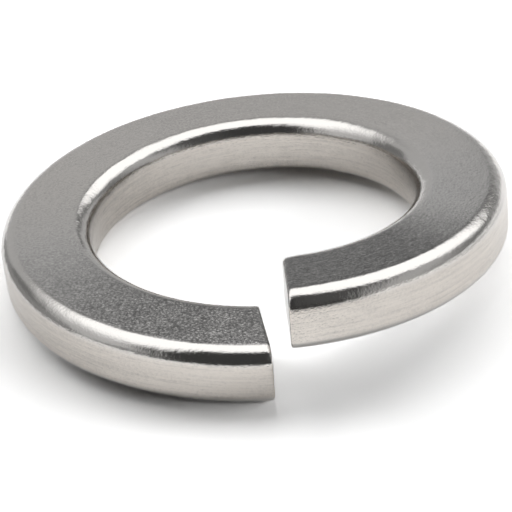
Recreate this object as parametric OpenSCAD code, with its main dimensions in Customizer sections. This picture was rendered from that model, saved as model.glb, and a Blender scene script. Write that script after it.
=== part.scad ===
// Spring lock washer: one turn of hard-drawn steel strip, coiled on edge as a left-hand helix and cut through,
// so that its two ends stand one strip thickness apart. The left-hand helix bites under a right-hand bolt.
// Millimetres, bore axis on +Z, the gap at the front on -Y, the low end to its left, the lowest edge at z = 0.

/* [Ring] */
// Diameter of the bore, for a 22 mm bolt with its usual clearance
bore_d = 22.5; // [20:0.1:26]
// Radial width of the strip's section
section_w = 6.2; // [5:0.05:7.5]
// Thickness of the strip's section
section_t = 3.95; // [3.2:0.05:5]

/* [Spring] */
// Height that the helix climbs in one full turn
lead = 3.58; // [1:0.01:5]
// Twist of the section at each end: its outer side drops at the low end and lifts at the high end
end_roll = 2.5; // [0:0.1:4]

/* [Rounded corners of the section] */
// Radius of the outer top corner
outer_top_r = 1.2; // [0.4:0.02:1.4]
// Radius of the inner top corner
inner_top_r = 1.2; // [0.4:0.02:1.4]
// Radius of the outer bottom corner
outer_bottom_r = 0.7; // [0.3:0.02:1]
// Radius of the inner bottom corner
inner_bottom_r = 0.4; // [0.3:0.02:0.8]

/* [Cut ends] */
// Width of the gap between the ends at the outer wall
gap_w = 1.2; // [0.6:0.05:4]
// Angle that the low end's cut makes with the radius
low_skew = 4.8; // [0:0.1:8]
// Angle that the high end's cut makes with the radius
high_skew = 4.5; // [0:0.1:8]
// Break of the crisp edges round each cut face
edge_break = 0.12; // [0.05:0.01:0.2]
// Edge rounded over by the shear blade: the low end's bottom edge and the high end's top edge
roll_over = 0.3; // [0.2:0.02:0.5]
// Growth of the inner top corner's radius where the blade has drawn it down, at the high end
drawn_corner = 0.6; // [0:0.05:0.8]
// Length of strip over which that corner is drawn down
drawn_length = 1.3; // [0.8:0.1:2.5]

/* [Hidden] */

bore_r = bore_d / 2;
outer_r = bore_r + section_w;
mean_r = bore_r + section_w / 2;

// The ends, in degrees of travel from the low end, clockwise seen from above.
gap_half = gap_w / 2 / outer_r * 180 / PI;
travel = 360 - 2 * gap_half;
mm = 180 / PI / mean_r;

// Height of the section's middle at the low end, which puts the lowest edge at z = 0.
lift = (section_w / 2 - outer_bottom_r) * sin(end_roll)
     + (section_t / 2 - outer_bottom_r) * cos(end_roll) + outer_bottom_r;
full_h = lead + 2 * section_t;

// Stock left inside the bore radius for the bore to be cut from, and the degrees by which each inner
// round stops short of the upright, so that the bore meets it at a clear angle.
stock = 0.45;
short_of = 14;
past = 0.05;

round_steps = 8;
foot_steps = 5;
edge_steps = 3;
turn_steps = 112;
skew_fade = 16;

// Signed travel by which a point at radius r leads its station on a cut at angle a to the radius.
function skewed(r, a) = asin(outer_r * sin(a) / r) - a;

// Ease from 1 at the cut to 0 where the skew has died out.
function fade(t) = t <= 0 ? 1 : t >= skew_fade ? 0 : 1 - pow(t / skew_fade, 2) * (3 - 2 * t / skew_fade);

// Twist of the section at travel t.
function roll(t) = end_roll * (2 * t / travel - 1);

// Height of the section's middle at travel t.
function mid_z(t) = lift + lead * t / 360;

// Growth of the inner top corner at distance u from the high end.
function drawn(u) = u >= drawn_length ? 0 : drawn_corner * (1 - sqrt(1 - pow(1 - u / drawn_length, 2)));

// Where two edges of the section meet: outward normals at angles a and b, at distances p and q from the middle.
function corner(a, p, b, q) = let(d = sin(b - a)) [(p * sin(b) - q * sin(a)) / d, (q * cos(a) - p * cos(b)) / d];

// Arc of radius r that rounds this corner, from normal angle from to normal angle to.
function rounded(k, a, b, r, from, to, steps) =
    let(c = k - r / (1 + cos(b - a)) * [cos(a) + cos(b), sin(a) + sin(b)])
    [for (i = [0:steps]) let(n = from + (to - from) * i / steps) c + r * [cos(n), sin(n)]];

// Outline of the section as [radius, height above its middle], anticlockwise from the outer bottom corner.
// tilt is its twist, and side, top and foot are how far those edges are drawn in at a cut end.
function outline(tilt, side, top, foot, top_r) =
    let(
        wall = section_w / 2,
        half = section_t / 2,
        side_r = max(outer_top_r - max(side, top), 0.15),
        foot_r = max(outer_bottom_r - max(side, foot), 0.15),
        in_top_r = max(top_r - top, 0.15),
        in_foot_r = max(inner_bottom_r - foot, 0.1),
        k1 = corner(tilt - 90, half - foot, tilt, wall - side),
        k2 = corner(tilt, wall - side, tilt + 90, half - top),
        k3 = corner(tilt + 90, half - top, 180, wall),
        k4 = corner(180, wall, tilt + 270, half - foot),
        a1 = rounded(k1, tilt - 90, tilt, foot_r, tilt - 90, tilt, foot_steps),
        a2 = rounded(k2, tilt, tilt + 90, side_r, tilt, tilt + 90, round_steps),
        a3 = rounded(k3, tilt + 90, 180, in_top_r, tilt + 90, 180 - short_of, round_steps),
        a4 = rounded(k4, 180, tilt + 270, in_foot_r, 180 + short_of, tilt + 270, foot_steps),
        down = a3[round_steps],
        up = a4[0],
        run = 1 / tan(short_of),
        in1 = down[0] + wall + past,
        in2 = up[0] + wall + past,
        b1 = [-wall - past, down[1] - in1 * run],
        b2 = [-wall - past, up[1] + in2 * run],
        pts = concat(a1, a2, a3, [b1, [-wall - stock, b1[1]], [-wall - stock, b2[1]], b2], a4)
    )
    [for (q = pts) [q[0] + mean_r, q[1]]];

// Point of the solid at travel t, radius r and height h above the section's middle.
function place(t, r, h) =
    let(
        lead_in = fade(t) * skewed(r, low_skew) - fade(travel - t) * skewed(r, high_skew),
        a = -90 - gap_half - t - lead_in
    )
    [r * cos(a), r * sin(a), mid_z(t) + h];

// Stations as [travel, side, top, foot]. The rounded edges of each cut take a quarter turn of small steps.
function ease(k) = 90 * k / edge_steps;
function back(k) = roll_over * (1 - cos(ease(k))) * mm;
function draw_in(k, e) = e * (1 - sin(ease(k)));
low_end = [for (k = [0:edge_steps]) [back(k), draw_in(k, edge_break), draw_in(k, edge_break), draw_in(k, roll_over)]];
high_end = [for (k = [edge_steps:-1:0])
    [travel - back(k), draw_in(k, edge_break), draw_in(k, roll_over), draw_in(k, edge_break)]];
first = back(edge_steps);
last = travel - drawn_length * mm - 1;
turn = [for (i = [1:turn_steps]) [first + (last - first) * i / turn_steps, 0, 0, 0]];
near_end = [for (i = [1:5]) [last + (travel - first - last) * i / 6, 0, 0, 0]];
stations = concat(low_end, turn, near_end, high_end);

rings = [for (s = stations)
    let(top_r = inner_top_r + drawn((travel - s[0]) / mm))
    [for (q = outline(roll(s[0]), s[1], s[2], s[3], top_r)) place(s[0], q[0], q[1])]];

// The coiled strip before its bore is sized: the section swept along the helix, with both cuts closed.
module strip() {
    n = len(rings[0]);
    m = len(rings);
    caps = [place(0, mean_r, 0), place(travel, mean_r, 0)];
    points = concat([for (ring = rings) for (q = ring) q], caps);
    skin = [for (j = [0:m - 2]) for (i = [0:n - 1])
        let(a = j * n + i, b = j * n + (i + 1) % n)
        each [[a, b, b + n], [a, b + n, a + n]]];
    low_cap = [for (i = [0:n - 1]) [(i + 1) % n, i, m * n]];
    high_cap = [for (i = [0:n - 1]) [(m - 1) * n + i, (m - 1) * n + (i + 1) % n, m * n + 1]];
    polyhedron(points, concat(skin, low_cap, high_cap), convexity = 6);
}

module washer() {
    color([0.62, 0.62, 0.61])
    difference() {
        strip();
        translate([0, 0, -1])
        cylinder(r = bore_r, h = full_h + 2, $fn = 240);
    }
}

washer();
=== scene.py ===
"""Spring lock washer: one turn of hard-drawn steel strip with sheared ends, lying on a white studio floor."""
import logging
import math
from dataclasses import dataclass, field
from enum import Enum
from functools import reduce
from itertools import chain
from operator import add

import bpy
import numpy as np
from mathutils import Matrix, Vector


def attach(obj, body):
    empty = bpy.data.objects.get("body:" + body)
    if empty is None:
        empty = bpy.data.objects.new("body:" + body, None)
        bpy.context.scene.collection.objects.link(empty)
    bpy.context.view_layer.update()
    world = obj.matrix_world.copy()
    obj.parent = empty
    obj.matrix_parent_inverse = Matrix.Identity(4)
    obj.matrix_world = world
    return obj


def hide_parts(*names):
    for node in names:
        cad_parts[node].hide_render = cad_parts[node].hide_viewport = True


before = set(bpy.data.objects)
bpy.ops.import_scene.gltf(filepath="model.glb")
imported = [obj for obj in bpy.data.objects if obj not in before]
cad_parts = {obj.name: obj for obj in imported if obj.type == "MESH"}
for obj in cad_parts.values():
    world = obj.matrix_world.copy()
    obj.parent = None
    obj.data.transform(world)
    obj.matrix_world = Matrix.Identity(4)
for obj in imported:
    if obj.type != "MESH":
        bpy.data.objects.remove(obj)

log = logging.getLogger("washer")

MM = 0.001
DEG = math.pi / 180
QUARTER_TURN = 90.0
FULL_TURN = 360.0
WHITE = (1.0, 1.0, 1.0, 1.0)
NOISE_MEAN = 0.5

Colour = tuple[float, float, float, float]


class Share(Enum):
    """Names of the vertex attributes: how much a point is on each surface, and how far along the strip."""

    FLAT = "flat_share"
    WALL = "wall_share"
    CUT = "cut_share"
    ALONG = "end_share"


# Shader building


@dataclass(frozen=True)
class Signal:
    """A number that varies over a surface: an output socket whose arithmetic adds Math nodes."""

    graph: "Graph"
    socket: bpy.types.NodeSocket

    def _math(self, operation: str, *values: "Signal | float") -> "Signal":
        """Math node of this operation on these values."""
        return self.graph.node("ShaderNodeMath", {"operation": operation}, dict(enumerate(values))).out()

    def __add__(self, other: "Signal | float") -> "Signal":
        """Sum."""
        return self._math("ADD", self, other)

    __radd__ = __add__

    def __sub__(self, other: "Signal | float") -> "Signal":
        """Difference."""
        return self._math("SUBTRACT", self, other)

    def __rsub__(self, other: "Signal | float") -> "Signal":
        """Difference from a number."""
        return self._math("SUBTRACT", other, self)

    def __mul__(self, other: "Signal | float") -> "Signal":
        """Product."""
        return self._math("MULTIPLY", self, other)

    __rmul__ = __mul__

    def __truediv__(self, other: "Signal | float") -> "Signal":
        """Quotient."""
        return self._math("DIVIDE", self, other)

    def least(self, other: "Signal | float") -> "Signal":
        """The smaller of the two."""
        return self._math("MINIMUM", self, other)

    def most(self, other: "Signal | float") -> "Signal":
        """The larger of the two."""
        return self._math("MAXIMUM", self, other)

    def ease(self, low: "Signal | float", high: "Signal | float") -> "Signal":
        """Smooth step from 0 at low to 1 at high.

        Args:
            low: value at which the step starts, a number or a signal.
            high: value at which it ends.

        Returns:
            The eased signal, between 0 and 1.
        """
        settings = {"interpolation_type": "SMOOTHSTEP", "clamp": True}
        sockets = {"Value": self, "From Min": low, "From Max": high}
        return self.graph.node("ShaderNodeMapRange", settings, sockets).out()


@dataclass(frozen=True)
class Made:
    """A node just made, from which outputs are taken."""

    graph: "Graph"
    node: bpy.types.Node

    def out(self, name: str | int = 0) -> Signal:
        """One output of the node, by name or place."""
        return Signal(self.graph, self.node.outputs[name])


@dataclass
class Graph:
    """The node tree of a material or of the world."""

    tree: bpy.types.NodeTree

    @classmethod
    def of_material(cls, name: str) -> tuple[bpy.types.Material, "Graph"]:
        """Makes a new material.

        Args:
            name: the material's name.

        Returns:
            The material and its empty tree.
        """
        material = bpy.data.materials.new(name)
        material.use_nodes = True
        material.node_tree.nodes.clear()
        return material, cls(material.node_tree)

    def node(self, kind: str, settings: dict | None = None, sockets: dict | None = None) -> Made:
        """Adds a node, sets it up and feeds it.

        Args:
            kind: the node's type.
            settings: its properties, set before its sockets.
            sockets: numbers, colours, signals or links by socket name or place.

        Returns:
            The node, ready for its outputs to be taken.
        """
        made = self.tree.nodes.new(kind)
        for name, value in (settings or {}).items():
            setattr(made, name, value)
        for name, value in (sockets or {}).items():
            if isinstance(value, Signal):
                self.tree.links.new(value.socket, made.inputs[name])
            else:
                made.inputs[name].default_value = value
        return Made(self, made)

    def blend(self, amount: Signal, first: Signal | Colour, second: Signal | Colour) -> Signal:
        """Mix of two colours: the first where amount is 0, the second where it is 1."""
        made = self.node("ShaderNodeMix", {"data_type": "RGBA"}, {0: amount, 6: first, 7: second})
        return made.out(2)

    def spread(self, place: Signal, scale: tuple[float, float, float]) -> Signal:
        """Coordinates stretched by a factor along each axis."""
        return self.node("ShaderNodeVectorMath", {"operation": "MULTIPLY"}, {0: place, 1: scale}).out()

    def noise(self, place: Signal, scale: float, detail: float, rough: float) -> Signal:
        """Soft noise between about 0 and 1, even in all directions of the given coordinates."""
        sockets = {"Vector": place, "Scale": scale, "Detail": detail, "Roughness": rough}
        return self.node("ShaderNodeTexNoise", {"noise_dimensions": "3D"}, sockets).out("Fac")

    def finish(self, kind: str, shader: Signal) -> None:
        """Joins the last shader to the tree's output node of this type."""
        self.node(kind, None, {"Surface": shader})

    def emit(self, light: Signal | Colour) -> None:
        """Makes the whole surface of a material give off this light, neutral where it is a number."""
        shader = self.node("ShaderNodeEmission", None, {"Color": light, "Strength": 1.0}).out()
        self.finish("ShaderNodeOutputMaterial", shader)


# Finishes


def grey(level: float) -> Colour:
    """Neutral colour of this level."""
    return (level, level, level, 1.0)


@dataclass(frozen=True)
class Ramp:
    """A change that eases in, from nothing at start to its full amount at end."""

    start: float
    end: float
    amount: float = 1.0

    def of(self, signal: Signal) -> Signal:
        """The change at each value of the signal."""
        return signal.ease(self.start, self.end) * self.amount


@dataclass(frozen=True)
class Profile:
    """A value that starts at one level and changes over one or more ramps."""

    level: float
    ramps: tuple[Ramp, ...]

    def of(self, signal: Signal) -> Signal:
        """The level and all the changes so far, at each value of the signal."""
        return reduce(add, (ramp.of(signal) for ramp in self.ramps), self.level)


@dataclass(frozen=True)
class Texture:
    """A noise that swings about 0, even in all directions, or stretched on the strip's own map."""

    scale: float
    detail: float
    rough: float
    stretch: tuple[float, float, float] | None = None

    def of(self, g: Graph, spot: Signal, strip: Signal) -> Signal:
        """The noise less its mean, over spot in metres, or over the strip's map if it is stretched."""
        place = g.spread(strip, self.stretch) if self.stretch else spot
        return g.noise(place, self.scale, self.detail, self.rough) - NOISE_MEAN


class Mark(Enum):
    """Marks on the steel, each with its noise."""

    GRAIN = Texture(6200, 2.0, 0.6)
    PATCHES = Texture(620, 3.0, 0.6)
    WAVES = Texture(420, 2.0, 0.5)
    CLOUDS = Texture(95, 2.0, 0.5)
    LINES = Texture(1.0, 3.0, 0.65, (0.08, 7.0, 1.0))
    BANDS = Texture(1.0, 2.0, 0.5, (0.04, 1.5, 1.0))
    SMEARS = Texture(1.0, 3.0, 0.6, (0.7, 4.0, 1.0))
    STROKES = Texture(1.0, 3.0, 0.7, (1.6, 5.5, 1.0))
    TEARS = Texture(1.0, 3.0, 0.6, (9.0, 1.1, 1.0))


@dataclass(frozen=True)
class Recipe:
    """Marks to be added up, each with its amount."""

    parts: tuple[tuple[Mark, float], ...]

    def of(self, marks: dict[Mark, Signal]) -> Signal:
        """The sum of the marks, each times its amount."""
        return reduce(add, (marks[mark] * amount for mark, amount in self.parts))


@dataclass(frozen=True)
class Skin:
    """One kind of surface: its roughness, what makes that uneven, its relief, and what dulls it."""

    rough: float
    uneven: Recipe
    relief: Recipe
    tone: Recipe | None = None


@dataclass(frozen=True)
class DrawnSteel:
    """Bare hard-drawn spring steel: grained flats, polished rounds, walls with drawing lines, sheared ends.

    Profiles and ramps run along the strip, from 0 at the low end to 1 at the high end, but the reach of the
    painted end shade runs over the share of flat. Tone is how far marks and painted shade darken the colour,
    and warmth how far it goes towards warm.
    """

    colour: Colour = (0.585, 0.578, 0.568, 1.0)
    warm: Colour = (0.67, 0.63, 0.585, 1.0)
    # Dark colour of the marks, and of the painted shade.
    dull_and_shade: Colour = (0.12, 0.118, 0.116, 1.0)
    depth: float = 0.05 * MM

    rounds: Skin = Skin(
        0.12,
        Recipe(((Mark.PATCHES, 0.05), (Mark.LINES, 0.03))),
        Recipe(((Mark.LINES, 0.08), (Mark.GRAIN, 0.3), (Mark.WAVES, 1.6))),
    )
    flats: Skin = Skin(
        0.17,
        Recipe(((Mark.PATCHES, 0.19), (Mark.LINES, 0.03))),
        Recipe(((Mark.LINES, 0.08), (Mark.GRAIN, 0.16))),
        Recipe(((Mark.SMEARS, 0.5), (Mark.CLOUDS, 0.35))),
    )
    walls: Skin = Skin(
        0.22,
        Recipe(((Mark.PATCHES, 0.05), (Mark.LINES, 0.15))),
        Recipe(((Mark.LINES, 0.2), (Mark.GRAIN, 0.51), (Mark.WAVES, 0.8))),
        Recipe(
            (
                (Mark.LINES, 1.4),
                (Mark.BANDS, 0.9),
                (Mark.SMEARS, 1.1),
                (Mark.GRAIN, 1.2),
                (Mark.CLOUDS, 0.5),
            )
        ),
    )
    cuts: Skin = Skin(
        0.16,
        Recipe(((Mark.PATCHES, 0.05), (Mark.LINES, 0.03))),
        Recipe(((Mark.LINES, 0.08), (Mark.GRAIN, 0.3), (Mark.WAVES, 1.6), (Mark.TEARS, 0.15))),
        Recipe(((Mark.TEARS, 0.5),)),
    )

    pits: Profile = Profile(1.0, (Ramp(0.06, 0.26, -0.7), Ramp(0.4, 0.6, -0.13), Ramp(0.7, 0.88, 0.2)))
    pit_relief: Recipe = Recipe(((Mark.GRAIN, 0.6), (Mark.PATCHES, 0.4)))
    pit_tone: Recipe = Recipe(((Mark.GRAIN, 6.3), (Mark.PATCHES, 1.7)))
    strokes: Ramp = Ramp(0.82, 0.91, 2.6)
    # Painted shade: the flats' reflection darker towards both ends, and a little onto the start of the
    # rounds.
    painted_end_shade: Profile = Profile(0.67, (Ramp(0.08, 0.25, -0.67), Ramp(0.82, 0.91, 0.72)))
    painted_shade_reach: Ramp = Ramp(0.1, 0.6)
    # Painted shade: the flats darker across the back.
    flat_shade: Profile = Profile(0.0, (Ramp(0.36, 0.46, 0.2), Ramp(0.62, 0.74, -0.2)))
    # Painted shade: the walls darker on the left.
    wall_shade: Profile = Profile(0.0, (Ramp(0.06, 0.14, 0.4), Ramp(0.34, 0.44, -0.4)))
    tone_weight: float = 0.36
    tone_ground: float = 0.04
    tone_most: float = 0.95
    warmth: float = 0.3
    wall_warmth: float = 0.7
    flat_warmth: Profile = Profile(-0.2, (Ramp(0.16, 0.34, 0.4), Ramp(0.62, 0.82, -0.4)))

    def material(self) -> bpy.types.Material:
        """Makes the steel.

        Roughness and relief are each surface's own, weighed by its share. The flats have pits besides, from
        noise in object coordinates, deepest at the low end, and the pits' relief falls off with the square of
        the flats' share.

        Returns:
            The material.
        """
        material, g = Graph.of_material("drawn_spring_steel")
        spot = g.node("ShaderNodeTexCoord").out("Object")
        strip = g.node("ShaderNodeUVMap", {"uv_map": "strip"}).out("UV")
        marks = {mark: mark.value.of(g, spot, strip) for mark in Mark}
        flat, wall, cut, along = (
            g.node("ShaderNodeAttribute", {"attribute_name": share.value}).out("Fac") for share in Share
        )
        rest = 1 - flat - wall - cut
        skins = ((flat, self.flats), (wall, self.walls), (cut, self.cuts), (rest, self.rounds))
        rough = reduce(add, (share * (skin.uneven.of(marks) + skin.rough) for share, skin in skins))
        relief = reduce(add, (share * skin.relief.of(marks) for share, skin in skins))
        pits = self.pits.of(along)
        relief = relief + flat * flat * pits * self.pit_relief.of(marks)
        bump = g.node("ShaderNodeBump", None, {"Strength": 1.0, "Distance": self.depth, "Height": relief})
        shader = g.node(
            "ShaderNodeBsdfPrincipled",
            None,
            {
                "Base Color": self.paint(g, marks, (flat, wall, cut, along), pits),
                "Metallic": 1.0,
                "Roughness": rough,
                "Normal": bump.out(),
            },
        )
        g.finish("ShaderNodeOutputMaterial", shader.out())
        return material

    def paint(
        self, g: Graph, marks: dict[Mark, Signal], shares: tuple[Signal, ...], pits: Signal
    ) -> Signal:
        """The steel's colour, darkened by marks and by painted shade, and warmer on the walls and at the
        back.

        Args:
            g: the tree to build in.
            marks: the steel's marks.
            shares: shares of flat, wall and cut face, and how far along the strip.
            pits: depth of the flats' pits.

        Returns:
            The colour.
        """
        flat, wall, cut, along = shares
        # Marks on the flats, and the painted shade across the back.
        flat_marks_and_shade = self.pit_tone.of(marks) * pits + self.flats.tone.of(marks) + self.flat_shade.of(along)
        flat_marks_and_shade = flat_marks_and_shade + marks[Mark.STROKES] * self.strokes.of(along)
        # Marks on the walls, and the painted shade on the left.
        wall_marks_and_shade = self.walls.tone.of(marks) + self.wall_shade.of(along)
        tone = flat * flat_marks_and_shade + wall * wall_marks_and_shade + cut * self.cuts.tone.of(marks)
        # Painted shade on the flats towards both ends, fading out over the start of the rounds.
        shade_at_ends = self.painted_shade_reach.of(flat) * self.painted_end_shade.of(along)
        tone = (tone * self.tone_weight + shade_at_ends + self.tone_ground).most(0.0).least(self.tone_most)
        warmth = self.warmth + wall * self.wall_warmth + flat * self.flat_warmth.of(along)
        return g.blend(tone, g.blend(warmth, self.colour, self.warm), self.dull_and_shade)


@dataclass(frozen=True)
class FloorSheet:
    """Matt white sheet that is pure white to the camera and to the metal, and keeps the washer's shadow."""

    paper: float = 0.85
    seen: float = 1.7
    mirrored: float = 1.42

    def material(self) -> bpy.types.Material:
        """Diffuse sheet, paper white to the light and lifted to full white for camera and mirror rays.

        Returns:
            The material.
        """
        material, g = Graph.of_material("white_sheet")
        path = g.node("ShaderNodeLightPath")
        mirrored = path.out("Is Glossy Ray").most(path.out("Is Transmission Ray"))
        colour = g.blend(mirrored, grey(self.paper), grey(self.mirrored))
        colour = g.blend(path.out("Is Camera Ray"), colour, grey(self.seen))
        g.finish("ShaderNodeOutputMaterial", g.node("ShaderNodeBsdfDiffuse", None, {"Color": colour}).out())
        return material


@dataclass(frozen=True)
class LightTent:
    """What the metal mirrors above the floor: a big soft light overhead and a dark room behind the camera.

    A direction is told by over, the angle in degrees from the far horizon, up over the zenith and down to the
    camera, and by x, the sine of the angle to the right. Profiles and ramps run over x unless their names say
    over. The sweep darkens between sweep_turn's two distances short of the far edge. wrap counts the
    directions under the floor on the camera's side on past 180, up to 270.
    """

    far_edge: Profile = Profile(58.0, (Ramp(-0.75, -0.3, -8.0), Ramp(0.12, 0.21, -14.0)))
    far_blur: Profile = Profile(18.0, (Ramp(-0.7, -0.08, -12.0),))
    near_edge: Profile = Profile(118.0, (Ramp(-0.65, -0.2, -11.0), Ramp(0.55, 0.85, -24.0)))
    near_blur: Profile = Profile(20.0, (Ramp(-0.7, -0.2, -14.0),))
    glow: Profile = Profile(0.6, (Ramp(-1.0, -0.5, 1.15), Ramp(0.74, 0.9, -1.45)))
    sweep_low: Profile = Profile(0.226, (Ramp(-0.74, -0.58, 0.339),))
    sweep_high: Profile = Profile(0.4, (Ramp(0.07, 0.15, -0.3),))
    sweep_turn: tuple[float, float] = (17.0, 9.0)
    room: Profile = Profile(
        0.06, (Ramp(0.05, 0.3, 0.04), Ramp(0.55, 0.62, 0.22), Ramp(0.66, 0.78, 0.25), Ramp(0.9, 0.96, -0.15))
    )
    room_left: Profile = Profile(0.64, (Ramp(-0.85, -0.6, -0.64),))
    room_left_over: Profile = Profile(1.0, (Ramp(150.0, 168.0, -0.55),))
    room_right: Ramp = Ramp(0.55, 0.62)
    room_right_over: Ramp = Ramp(165.0, 182.0, 0.12)
    wrap: Ramp = Ramp(-90.1, -90.0, -FULL_TURN)

    def material(self, radius: float) -> bpy.types.Material:
        """Light given off by the tent, by direction from its middle.

        The soft light fills over between its far and near edges, which slope from left to right, and fades
        out at both ends. Below its far edge a pale sweep rises from the floor and darkens upwards. Past its
        near edge the room is dark in the middle and grey at the sides.

        Args:
            radius: the tent's radius.

        Returns:
            The material.
        """
        material, g = Graph.of_material("light_tent")
        parts = g.node("ShaderNodeSeparateXYZ", None, {0: g.node("ShaderNodeTexCoord").out("Object")})
        x, y, z = (parts.out(axis) / radius for axis in "XYZ")
        over = g.node("ShaderNodeMath", {"operation": "ARCTAN2"}, {0: z, 1: y}).out() / DEG
        over = over + (self.wrap.of(over) + FULL_TURN)

        far_edge, far_blur = self.far_edge.of(x), self.far_blur.of(x)
        near_edge, near_blur = self.near_edge.of(x), self.near_blur.of(x)
        past_far = over.ease(far_edge - far_blur, far_edge + far_blur)
        past_near = over.ease(near_edge - near_blur, near_edge + near_blur)

        low, high = self.sweep_low.of(x), self.sweep_high.of(x)
        turn_start, turn_end = self.sweep_turn
        sweep = low - over.ease(far_edge - turn_start, far_edge - turn_end) * (low - high)
        room = self.room.of(x) + self.room_left.of(x) * self.room_left_over.of(over)
        room = room + self.room_right.of(x) * self.room_right_over.of(over)
        light = (1 - past_far) * sweep + past_far * (1 - past_near) * self.glow.of(x) + past_near * room
        g.emit(light)
        return material


# Meshes


def grid_faces(rows: int, columns: int) -> np.ndarray:
    """Quads of a closed grid of points numbered row by row, whose last column joins the first.

    Args:
        rows: number of rows.
        columns: number of points in a row.

    Returns:
        Array of quads, each (row, column), (row, next), (next row, next), (next row, column).
    """
    row, column = np.meshgrid(np.arange(rows - 1), np.arange(columns), indexing="ij")
    here, there = row * columns, (column + 1) % columns
    quads = [here + column, here + there, here + columns + there, here + columns + column]
    return np.stack(quads, -1).reshape(-1, 4)


def make_piece(
    name: str, points: np.ndarray, faces: list[list[int]], material: bpy.types.Material
) -> bpy.types.Object:
    """A smooth mesh object at the origin.

    Args:
        name: the object's name.
        points: its vertices, in metres.
        faces: lists of vertex numbers.
        material: its finish.

    Returns:
        The object, linked into the scene.
    """
    mesh = bpy.data.meshes.new(name)
    mesh.from_pydata(points.tolist(), [], faces)
    mesh.polygons.foreach_set("use_smooth", np.ones(len(mesh.polygons), dtype=bool))
    mesh.materials.append(material)
    mesh.update()
    made = bpy.data.objects.new(name, mesh)
    bpy.context.scene.collection.objects.link(made)
    return made


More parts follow.
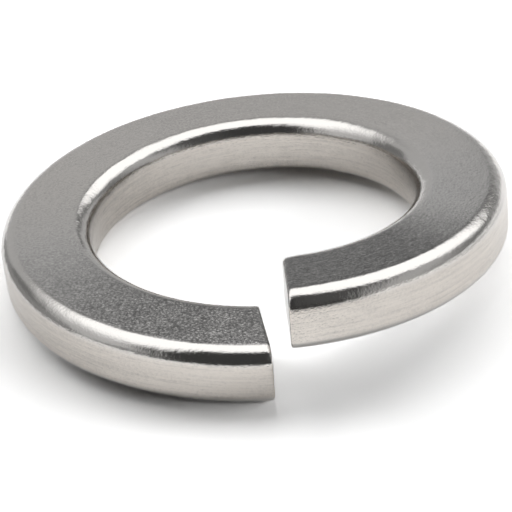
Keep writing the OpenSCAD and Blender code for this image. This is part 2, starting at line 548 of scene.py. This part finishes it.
@dataclass
class SpringWasher:
    """The coiled strip: a rounded section carried along one left-hand turn, with both cut faces.

    Lengths are in metres and angles in radians, apart from flat_reach and wall_reach, which are in degrees,
    and cut_map_at, where the cut faces' map starts, which is in millimetres.
    """

    bore_r: float = 11.25 * MM
    width: float = 6.2 * MM
    thickness: float = 3.95 * MM
    lead: float = 3.58 * MM
    end_roll: float = 2.5 * DEG
    outer_top_r: float = 1.2 * MM
    inner_top_r: float = 1.2 * MM
    outer_foot_r: float = 0.7 * MM
    inner_foot_r: float = 0.4 * MM
    gap: float = 1.2 * MM
    low_skew: float = 4.8 * DEG
    high_skew: float = 4.5 * DEG
    edge_break: float = 0.12 * MM
    roll_over: float = 0.3 * MM
    drawn_corner: float = 0.6 * MM
    drawn_length: float = 1.3 * MM
    skew_fade: float = 16 * DEG
    least_r: float = 0.15 * MM
    least_inner_foot_r: float = 0.1 * MM
    near_margin: float = 1 * DEG
    turn_steps: int = 360
    edge_steps: int = 5
    near_steps: int = 14
    arc_steps: int = 12
    run_steps: tuple[int, int, int, int] = (10, 20, 10, 20)
    cap_rings: int = 10
    flat_reach: float = 16.0
    wall_reach: float = 22.0
    cut_map_at: float = 200.0
    finish: DrawnSteel = field(default_factory=DrawnSteel)

    @property
    def outer_r(self) -> float:
        """Radius of the outer wall."""
        return self.bore_r + self.width

    @property
    def mean_r(self) -> float:
        """Radius of the section's middle."""
        return self.bore_r + self.width / 2

    @property
    def gap_half(self) -> float:
        """Half the gap, as an angle at the outer wall."""
        return self.gap / 2 / self.outer_r

    @property
    def travel(self) -> float:
        """Angle that the strip runs through, from the low end to the high end."""
        return 2 * math.pi - 2 * self.gap_half

    @property
    def lift(self) -> float:
        """Height of the section's middle at the low end, which puts the lowest edge at 0.

        Returns:
            The height, in metres.
        """
        reach = self.width / 2 - self.outer_foot_r
        depth = self.thickness / 2 - self.outer_foot_r
        return reach * math.sin(self.end_roll) + depth * math.cos(self.end_roll) + self.outer_foot_r

    def stations(self) -> np.ndarray:
        """Rows of [travel, side, top, foot]: places along the strip and how far each edge is drawn in there.

        Near each cut the edges follow a quarter ellipse: at angle a the station is set back by
        roll_over * (1 - cos a), and each edge is drawn in by its own depth times (1 - sin a).

        Returns:
            Array with one row a station.
        """
        a = math.pi / 2 * np.arange(self.edge_steps + 1) / self.edge_steps
        back = self.roll_over * (1 - np.cos(a)) / self.mean_r
        crisp, rolled = self.edge_break * (1 - np.sin(a)), self.roll_over * (1 - np.sin(a))
        low = np.stack([back, crisp, crisp, rolled], -1)
        high = np.stack([self.travel - back, crisp, rolled, crisp], -1)[::-1]
        first = back[-1]
        last = self.travel - self.drawn_length / self.mean_r - self.near_margin
        turn = first + (last - first) * np.arange(1, self.turn_steps + 1) / self.turn_steps
        near = last + (self.travel - first - last) * np.arange(1, self.near_steps) / self.near_steps
        middle = np.concatenate([turn, near])[:, None] * (1, 0, 0, 0)
        return np.concatenate([low, middle, high])

    @staticmethod
    def corner(a: np.ndarray, p: np.ndarray, b: np.ndarray, q: np.ndarray) -> np.ndarray:
        """Where two edges meet: outward normals at angles a and b, at distances p and q from the middle."""
        d = np.sin(b - a)
        return np.stack([(p * np.sin(b) - q * np.sin(a)) / d, (q * np.cos(a) - p * np.cos(b)) / d], -1)

    def rounded(self, k: np.ndarray, a: np.ndarray, b: np.ndarray, r: np.ndarray) -> np.ndarray:
        """Arcs that round a corner at every station.

        The centre is the corner less r / (1 + cos(b - a)) * (cos a + cos b, sin a + sin b), and the arc's
        points are the centre plus r * (cos n, sin n) for n from a to b.

        Args:
            k: corners, one a station.
            a: normal angles at which the arcs start.
            b: normal angles at which they end.
            r: radii.

        Returns:
            Array of stations by points by 2.
        """
        reach = (r / (1 + np.cos(b - a)))[:, None]
        centre = k - reach * np.stack([np.cos(a) + np.cos(b), np.sin(a) + np.sin(b)], -1)
        n = a[:, None] + (b - a)[:, None] * np.linspace(0, 1, self.arc_steps + 1)
        return centre[:, None] + r[:, None, None] * np.stack([np.cos(n), np.sin(n)], -1)

    def outline(self, rows: np.ndarray) -> tuple[np.ndarray, np.ndarray]:
        """Section at every station as (radius, height above its middle), anticlockwise from the outer bottom.

        The strip twists evenly from -end_roll to end_roll about its middle, and the inner wall stays upright.
        At a share s of drawn_length before the high end, the inner top corner's radius grows by
        drawn_corner * (1 - sqrt(1 - (1 - s) * (1 - s))).

        Args:
            rows: the stations.

        Returns:
            Points, stations by outline by 2, and for each outline point its normal's angle, in degrees.
        """
        t, side, top, foot = rows.T
        tilt = self.end_roll * (2 * t / self.travel - 1)
        upright = np.full_like(t, math.pi)
        wall, half, h = self.width / 2, self.thickness / 2, math.pi / 2
        reach = np.clip(1 - (self.travel - t) * self.mean_r / self.drawn_length, 0, 1)
        drawn = self.drawn_corner * (1 - np.sqrt(1 - reach**2))
        outer_foot = np.maximum(self.outer_foot_r - np.maximum(side, foot), self.least_r)
        outer_top = np.maximum(self.outer_top_r - np.maximum(side, top), self.least_r)
        inner_top = np.maximum(self.inner_top_r + drawn - top, self.least_r)
        inner_foot = np.maximum(self.inner_foot_r - foot, self.least_inner_foot_r)
        inner_wall = np.full_like(t, wall)
        corners = (
            (tilt - h, half - foot, tilt, wall - side, outer_foot),
            (tilt, wall - side, tilt + h, half - top, outer_top),
            (tilt + h, half - top, upright, inner_wall, inner_top),
            (upright, inner_wall, tilt + 3 * h, half - foot, inner_foot),
        )
        arcs = [self.rounded(self.corner(a, p, b, q), a, b, r) for a, p, b, q, r in corners]
        points, angles = [], []
        for i, (arc, steps) in enumerate(zip(arcs, self.run_steps)):
            following = arcs[(i + 1) % len(arcs)]
            normal = i * QUARTER_TURN
            share = (np.arange(1, steps) / steps)[None, :, None]
            run = arc[:, -1:] * (1 - share) + following[:, :1] * share
            points += [arc, run]
            turning = np.linspace(normal - QUARTER_TURN, normal, self.arc_steps + 1)
            angles += [turning, np.full(steps - 1, normal)]
        joined = np.concatenate(points, axis=1)
        joined[..., 0] += self.mean_r
        return joined, np.concatenate(angles)

    def ease_out(self, t: np.ndarray) -> np.ndarray:
        """1 at a cut, falling as 1 - u * u * (3 - 2 u) to 0 where the skew has died out."""
        u = np.clip(t / self.skew_fade, 0, 1)
        return 1 - u * u * (3 - 2 * u)

    def place(self, t: np.ndarray, section: np.ndarray) -> np.ndarray:
        """Points of the strip.

        A point at radius r and height h turns clockwise by t from the low end, plus a lead
        asin(outer_r * sin(skew) / r) - skew that makes each cut a plane at its skew to the radius. Its height
        is lift + lead * t / turn + h.

        Args:
            t: travel of each station.
            section: its (radius, height) points.

        Returns:
            Array of stations by points by 3.
        """
        r, h = section[..., 0], section[..., 1]
        t = t[:, None]
        low = np.arcsin(self.outer_r * math.sin(self.low_skew) / r) - self.low_skew
        high = np.arcsin(self.outer_r * math.sin(self.high_skew) / r) - self.high_skew
        led = self.ease_out(t) * low - self.ease_out(self.travel - t) * high
        a = -math.pi / 2 - self.gap_half - t - led
        return np.stack([r * np.cos(a), r * np.sin(a), self.lift + self.lead * t / (2 * math.pi) + h], -1)

    def caps(self, rings: np.ndarray, rows: np.ndarray) -> list[np.ndarray]:
        """Points inside the two cut faces: middle + (outline - middle) * share, for shares from 1 down to 0.

        Args:
            rings: the strip's rings of points.
            rows: the stations.

        Returns:
            The points of the low and of the high end, without the outline itself, ring by ring and the middle
            last.
        """
        middles = self.place(rows[[0, -1], 0], np.array([[[self.mean_r, 0.0]]] * 2))
        share = (1 - np.arange(1, self.cap_rings) / self.cap_rings)[:, None, None]
        insides = [middle + (ring - middle) * share for middle, ring in zip(middles, rings[[0, -1]])]
        return [np.concatenate([inside.reshape(-1, 3), middle]) for inside, middle in zip(insides, middles)]

    def cap_faces(self, n: int, ring: int, start: int) -> tuple[np.ndarray, np.ndarray]:
        """Faces of one cut face, wound for the high end.

        Args:
            n: number of points in a ring.
            ring: number of the first point of the strip's ring at the cut.
            start: number of the first point inside it.

        Returns:
            The quads between its rings, and the triangles round its middle.
        """
        quads = grid_faces(self.cap_rings, n)
        quads = np.where(quads < n, quads + ring, quads + start - n)
        last = start + (self.cap_rings - 2) * n
        around = np.arange(n)
        return quads, np.stack([around + last, (around + 1) % n + last, np.full(n, last + n)], -1)

    def build(self) -> bpy.types.Object:
        """Makes the washer's mesh with its map and its shares, and gives it its finish.

        Returns:
            The washer's object.
        """
        rows = self.stations()
        section, angles = self.outline(rows)
        rings = self.place(rows[:, 0], section)
        m, n = rings.shape[:2]
        low, high = self.caps(rings, rows)
        points = np.concatenate([rings.reshape(-1, 3), low, high])

        low_quads, low_fan = self.cap_faces(n, 0, m * n)
        high_quads, high_fan = self.cap_faces(n, (m - 1) * n, m * n + len(low))
        parts = (grid_faces(m, n), low_quads[:, ::-1], high_quads, low_fan[:, [1, 0, 2]], high_fan)
        faces = list(chain.from_iterable(part.tolist() for part in parts))
        washer = make_piece("washer_body", points, faces, self.finish.material())
        along = rows[:, 0] * self.mean_r / MM
        self.mark_shares(washer.data, angles, along, len(low))
        self.chart(washer.data, section, along)
        return washer

    def mark_shares(self, mesh: bpy.types.Mesh, angles: np.ndarray, along: np.ndarray, cap: int) -> None:
        """Writes how much each point belongs to every surface, and how far along the strip it is.

        Flat is 1 - lean / flat_reach, where lean is how far the outline's normal leans away from up or down,
        and wall is the same with wall_reach and the lean away from sideways. Cut is 1 inside the cut faces.

        Args:
            mesh: the washer's mesh.
            angles: the normal angle of each outline point, in degrees.
            along: the length of strip up to each station.
            cap: the number of points inside one cut face.
        """
        m, n = len(along), len(angles)
        from_side = np.abs(np.mod(angles + QUARTER_TURN, 2 * QUARTER_TURN) - QUARTER_TURN)
        flat = np.clip(1 - (QUARTER_TURN - from_side) / self.flat_reach, 0, 1)
        wall = np.clip(1 - from_side / self.wall_reach, 0, 1)
        shares = {
            Share.FLAT: (np.tile(flat, m), np.zeros(2 * cap)),
            Share.WALL: (np.tile(wall, m), np.zeros(2 * cap)),
            Share.CUT: (np.zeros(m * n), np.ones(2 * cap)),
            Share.ALONG: (np.repeat(along / along[-1], n), np.zeros(cap), np.ones(cap)),
        }
        for share, values in shares.items():
            layer = mesh.attributes.new(share.value, "FLOAT", "POINT")
            layer.data.foreach_set("value", np.concatenate(values).astype(np.float32))

    def chart(self, mesh: bpy.types.Mesh, section: np.ndarray, along: np.ndarray) -> None:
        """Gives the mesh its map, in millimetres.

        On the strip it is (length along the mean circle, length round the section at half travel). On a cut
        face it is (cut_map_at + radius, height).

        Args:
            mesh: the washer's mesh.
            section: the outlines.
            along: the length of strip up to each station.
        """
        m, n = section.shape[:2]
        outline = section[m // 2]
        steps = np.linalg.norm(np.diff(outline, axis=0, append=outline[:1]), axis=1)
        around = np.concatenate([[0], np.cumsum(steps)]) / MM

        vertex = np.zeros(len(mesh.loops), dtype=np.int32)
        mesh.loops.foreach_get("vertex_index", vertex)
        points = np.zeros(len(mesh.vertices) * 3, dtype=np.float32)
        mesh.vertices.foreach_get("co", points)
        x, y, z = points.reshape(-1, 3)[vertex].T / MM
        uv = np.column_stack([self.cut_map_at + np.hypot(x, y), z])
        quad, corner = np.divmod(np.arange((m - 1) * n * 4), 4)
        row = quad // n + (corner >= 2)
        column = quad % n + np.isin(corner, (1, 2))
        uv[: len(quad)] = np.column_stack([along[row], around[column]])
        mesh.uv_layers.new(name="strip").data.foreach_set("uv", uv.ravel())


@dataclass(frozen=True)
class Lamp:
    """A large soft light that lights the floor and shapes the shadow, but isn't mirrored by the metal."""

    name: str
    turn: float
    elevation: float
    across: float
    deep: float
    distance: float
    glow: float

    def build(self) -> bpy.types.Object:
        """Makes the lamp, turned clockwise from straight behind the washer, and aims it at the washer.

        Returns:
            The lamp's object.
        """
        light = bpy.data.lights.new(self.name, "AREA")
        light.shape, light.size, light.size_y = "RECTANGLE", self.across, self.deep
        light.energy = self.glow * math.pi * self.across * self.deep
        made = bpy.data.objects.new(self.name, light)
        level = math.cos(self.elevation)
        towards = Vector((math.sin(self.turn) * level, math.cos(self.turn) * level, math.sin(self.elevation)))
        made.location = towards * self.distance
        made.rotation_mode = "QUATERNION"
        made.rotation_quaternion = towards.to_track_quat("Z", "Y")
        made.visible_glossy = False
        made.visible_camera = False
        bpy.context.scene.collection.objects.link(made)
        return made


def mirror_only(made: bpy.types.Object) -> bpy.types.Object:
    """Hides a set piece from all rays but mirror rays.

    Args:
        made: the set piece.

    Returns:
        The same piece.
    """
    for ray in ("camera", "diffuse", "transmission", "volume_scatter", "shadow"):
        setattr(made, f"visible_{ray}", False)
    return made


@dataclass(frozen=True)
class Card:
    """Upright card out of the picture, seen by mirror rays alone, that gives the metal a dark edge."""

    name: str
    turn: float
    away: float
    half: float
    height: float
    level: float
    sunk: float = 3 * MM

    def build(self) -> bpy.types.Object:
        """Makes the card, turned clockwise from straight behind the washer and square to it.

        Its corners are out * away plus or minus side * half, at the heights -sunk and height, where out is
        (sin turn, cos turn, 0) and side is (cos turn, -sin turn, 0).

        Returns:
            The card's object.
        """
        material, g = Graph.of_material(self.name)
        g.emit(grey(self.level))
        out = np.array([math.sin(self.turn), math.cos(self.turn), 0])
        side = np.array([math.cos(self.turn), -math.sin(self.turn), 0])
        across = np.array([-1, 1, 1, -1])[:, None] * self.half
        points = out * self.away + side * across
        points[:, 2] = (-self.sunk, -self.sunk, self.height, self.height)
        return mirror_only(make_piece(self.name, points, [[0, 1, 2, 3]], material))


@dataclass(frozen=True)
class Studio:
    """White floor in the plane that the washer rests on, lamps, and a tent and cards for the metal."""

    rest_normal: tuple[float, float, float] = (-0.042256, -0.055952, 0.997539)
    rest_offset: float = 0.926 * MM
    floor_r: float = 0.6
    rim_steps: int = 96
    tent_r: float = 1.6
    tent_rows: int = 33
    tent_columns: int = 64
    lamps: tuple[Lamp, ...] = (
        Lamp("overhead_light", 0 * DEG, 56 * DEG, 1.6, 0.58, 0.8, 2.2),
        Lamp("right_light", 98 * DEG, 22 * DEG, 1.42, 0.4, 1.0, 4.7),
        Lamp("left_light", -46 * DEG, 22 * DEG, 0.57, 0.48, 1.0, 3.6),
    )
    cards: tuple[Card, ...] = (
        Card("front_card", 180 * DEG, 50 * MM, 34 * MM, 13 * MM, 0.06),
        Card("left_card", -82 * DEG, 32 * MM, 18 * MM, 7 * MM, 0.34),
        Card("right_card", 90 * DEG, 40 * MM, 16 * MM, 5 * MM, 0.5),
    )
    sheet: FloorSheet = field(default_factory=FloorSheet)
    tent: LightTent = field(default_factory=LightTent)

    def floor(self) -> bpy.types.Object:
        """Round sheet in the rest plane: centre + r * (cos a, sin a) on two directions that lie in it.

        Returns:
            The sheet's object.
        """
        up = Vector(self.rest_normal).normalized()
        across = up.cross(Vector((0, 1, 0))).normalized()
        along = up.cross(across)
        a = np.linspace(0, 2 * math.pi, self.rim_steps, endpoint=False)[:, None]
        circle = np.cos(a) * np.array(across) + np.sin(a) * np.array(along)
        rim = np.array(up) * self.rest_offset + self.floor_r * circle
        return make_piece("floor_sheet", rim, [list(range(self.rim_steps))], self.sheet.material())

    def dome(self) -> bpy.types.Object:
        """Light tent round the set, seen by mirror rays alone: r * (cos e * cos a, cos e * sin a, sin e).

        Returns:
            The tent's object.
        """
        e = np.linspace(-math.pi / 2, math.pi / 2, self.tent_rows)[:, None]
        a = np.linspace(0, 2 * math.pi, self.tent_columns, endpoint=False)[None, :]
        points = self.tent_r * np.stack([np.cos(e) * np.cos(a), np.cos(e) * np.sin(a), np.sin(e) + 0 * a], -1)
        faces = grid_faces(self.tent_rows, self.tent_columns).tolist()
        material = self.tent.material(self.tent_r)
        return mirror_only(make_piece("light_tent", points.reshape(-1, 3), faces, material))

    def world(self) -> None:
        """White to camera, mirror and glass rays, with no light of its own for things."""
        world = bpy.data.worlds.new("white_room")
        world.use_nodes = True
        world.node_tree.nodes.clear()
        bpy.context.scene.world = world
        g = Graph(world.node_tree)
        path = g.node("ShaderNodeLightPath")
        seen = path.out("Is Camera Ray").most(path.out("Is Glossy Ray")).most(path.out("Is Transmission Ray"))
        glow = g.node("ShaderNodeBackground", None, {"Color": WHITE, "Strength": seen}).out()
        g.finish("ShaderNodeOutputWorld", glow)

    def build(self) -> list[bpy.types.Object]:
        """Makes the whole set, apart from the camera.

        Returns:
            The set's objects that are no part of the washer.
        """
        self.world()
        for lamp in self.lamps:
            lamp.build()
        made = [self.floor(), self.dome(), *(card.build() for card in self.cards)]
        return made


@dataclass(frozen=True)
class Camera:
    """The photograph's camera: a long lens that looks down on the washer from the front."""

    aim: tuple[float, float, float] = (0.0, 0.0, 3.8 * MM)
    unit: float = 17.35 * MM
    elevation: float = 29.112 * DEG
    azimuth: float = -3.643 * DEG
    roll: float = -4.475 * DEG
    distance: float = 7.657
    right_of: float = 0.00889
    above: float = -0.13955
    lens: float = 134.97
    sensor: float = 36.0
    clip: tuple[float, float] = (0.005, 20.0)

    def build(self) -> bpy.types.Object:
        """Makes the camera and gives it to the scene.

        Its axes are back = (sin az * cos el, -cos az * cos el, sin el), right = (cos az, sin az, 0) and
        up = back x right, with right and up turned by the roll. It stands at
        aim + unit * (back * distance + right * right_of + up * above).

        Returns:
            The camera's object.
        """
        az, el = self.azimuth, self.elevation
        back = Vector((math.sin(az) * math.cos(el), -math.cos(az) * math.cos(el), math.sin(el)))
        level = Vector((math.cos(az), math.sin(az), 0))
        rise = back.cross(level)
        right = level * math.cos(self.roll) + rise * math.sin(self.roll)
        up = rise * math.cos(self.roll) - level * math.sin(self.roll)
        offset = back * self.distance + right * self.right_of + up * self.above
        place = Vector(self.aim) + self.unit * offset
        data = bpy.data.cameras.new("camera")
        data.lens, data.sensor_width = self.lens, self.sensor
        data.clip_start, data.clip_end = self.clip
        made = bpy.data.objects.new("camera", data)
        made.matrix_world = Matrix.Translation(place) @ Matrix((right, up, back)).transposed().to_4x4()
        bpy.context.scene.collection.objects.link(made)
        bpy.context.scene.camera = made
        return made


def main() -> None:
    """Builds the set and the washer."""
    logging.basicConfig(level=logging.INFO, format="%(message)s")
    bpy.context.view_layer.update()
    bpy.context.scene.view_settings.view_transform = "Standard"
    Camera().build()
    for made in Studio().build():
        log.info("stage %s", made.name)
    washer = SpringWasher().build()
    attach(washer, "root")
    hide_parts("washer")
    log.info("piece %s: %d faces", washer.name, len(washer.data.polygons))


if __name__ == "__main__":
    main()
